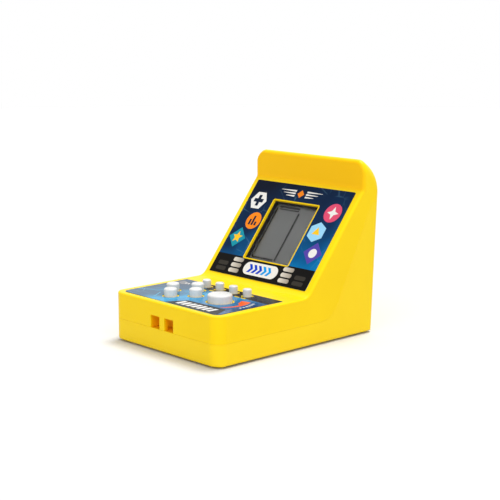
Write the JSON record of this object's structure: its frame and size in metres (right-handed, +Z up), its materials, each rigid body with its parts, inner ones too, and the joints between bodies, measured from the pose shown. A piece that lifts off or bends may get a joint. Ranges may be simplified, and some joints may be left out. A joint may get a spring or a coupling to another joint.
{
  "type": "handheld lcd game",
  "caption": "Pocket LCD game shaped like a small table-top arcade cabinet: sloping screen, flat button deck, two-part plastic case with a battery door in the back.",
  "frame": {"origin": "middle of the footprint, on the table under the feet", "axes": "+Z up, the front with the button deck faces -Y, +X to the right of a player"},
  "size_m": [0.07, 0.0984, 0.0793],
  "materials": {
    "yellow_plastic": "moulded, satin gloss",
    "printed_film": "printed polyester film",
    "black_plastic": "moulded, matt",
    "clear_plastic": "clear acrylic sheet",
    "lcd_glass": "liquid crystal display with polariser",
    "connector_rubber": "layered conductive rubber",
    "circuit_board": "solder mask on laminate",
    "keypad_rubber": "moulded silicone",
    "cable_film": "flat ribbon",
    "white_plastic": "moulded, glossy",
    "cell_jacket": "shrink jacket over a metal can",
    "plated_steel": "nickel plated",
    "red_insulation": "wire insulation",
    "black_insulation": "wire insulation",
    "buzzer_brass": "brass plate with a ceramic disc"
  },
  "bodies": {
    "case": {"front_shell": "yellow_plastic", "rear_shell": "yellow_plastic", "screen_label": "printed_film", "deck_label": "printed_film", "display_frame": "black_plastic", "display_window": "clear_plastic", "display_glass": "lcd_glass", "display_connector": "connector_rubber", "main_board": "circuit_board", "button_board": "circuit_board", "keypad": "keypad_rubber", "flat_cable": "cable_film", "cell_upper": "cell_jacket", "cell_lower": "cell_jacket", "battery_springs": "plated_steel", "battery_contacts": "plated_steel", "battery_wire_red": "red_insulation", "battery_wire_black": "black_insulation", "buzzer": "buzzer_brass", "buzzer_wires": "red_insulation", "case_screws": "plated_steel", "board_screws": "plated_steel"},
    "button_up": {"button_up": "white_plastic"},
    "button_down": {"button_down": "white_plastic"},
    "button_left": {"button_left": "white_plastic"},
    "button_right": {"button_right": "white_plastic"},
    "button_rotate": {"button_rotate": "white_plastic"},
    "button_power": {"button_power": "white_plastic"},
    "button_start": {"button_start": "white_plastic"},
    "button_reset": {"button_reset": "white_plastic"},
    "button_sound": {"button_sound": "white_plastic"},
    "battery_door": {"battery_door": "yellow_plastic"}
  },
  "joints": [
    {"name": "up_press", "type": "slide", "parent": "case", "child": "button_up", "axis": [0, 0, -1], "range_m": [0, 0.0011], "stiffness_N_per_m": 800, "springref_m": -0.0004, "deforming": ["keypad"]},
    {"name": "down_press", "type": "slide", "parent": "case", "child": "button_down", "axis": [0, 0, -1], "range_m": [0, 0.0011], "stiffness_N_per_m": 800, "springref_m": -0.0004, "deforming": ["keypad"]},
    {"name": "left_press", "type": "slide", "parent": "case", "child": "button_left", "axis": [0, 0, -1], "range_m": [0, 0.0011], "stiffness_N_per_m": 800, "springref_m": -0.0004, "deforming": ["keypad"]},
    {"name": "right_press", "type": "slide", "parent": "case", "child": "button_right", "axis": [0, 0, -1], "range_m": [0, 0.0011], "stiffness_N_per_m": 800, "springref_m": -0.0004, "deforming": ["keypad"]},
    {"name": "rotate_press", "type": "slide", "parent": "case", "child": "button_rotate", "axis": [0, 0, -1], "range_m": [0, 0.0011], "stiffness_N_per_m": 800, "springref_m": -0.0004, "deforming": ["keypad"]},
    {"name": "power_press", "type": "slide", "parent": "case", "child": "button_power", "axis": [0, 0, -1], "range_m": [0, 0.0011], "stiffness_N_per_m": 800, "springref_m": -0.0004, "deforming": ["keypad"]},
    {"name": "start_press", "type": "slide", "parent": "case", "child": "button_start", "axis": [0, 0, -1], "range_m": [0, 0.0011], "stiffness_N_per_m": 800, "springref_m": -0.0004, "deforming": ["keypad"]},
    {"name": "reset_press", "type": "slide", "parent": "case", "child": "button_reset", "axis": [0, 0, -1], "range_m": [0, 0.0011], "stiffness_N_per_m": 800, "springref_m": -0.0004, "deforming": ["keypad"]},
    {"name": "sound_press", "type": "slide", "parent": "case", "child": "button_sound", "axis": [0, 0, -1], "range_m": [0, 0.0011], "stiffness_N_per_m": 800, "springref_m": -0.0004, "deforming": ["keypad"]},
    {"name": "door_hinge", "type": "hinge", "parent": "case", "child": "battery_door", "pos_m": [0, 0.04626, 0.00519], "axis": [-1, 0, 0], "range_deg": [0, 75]}
  ]
}
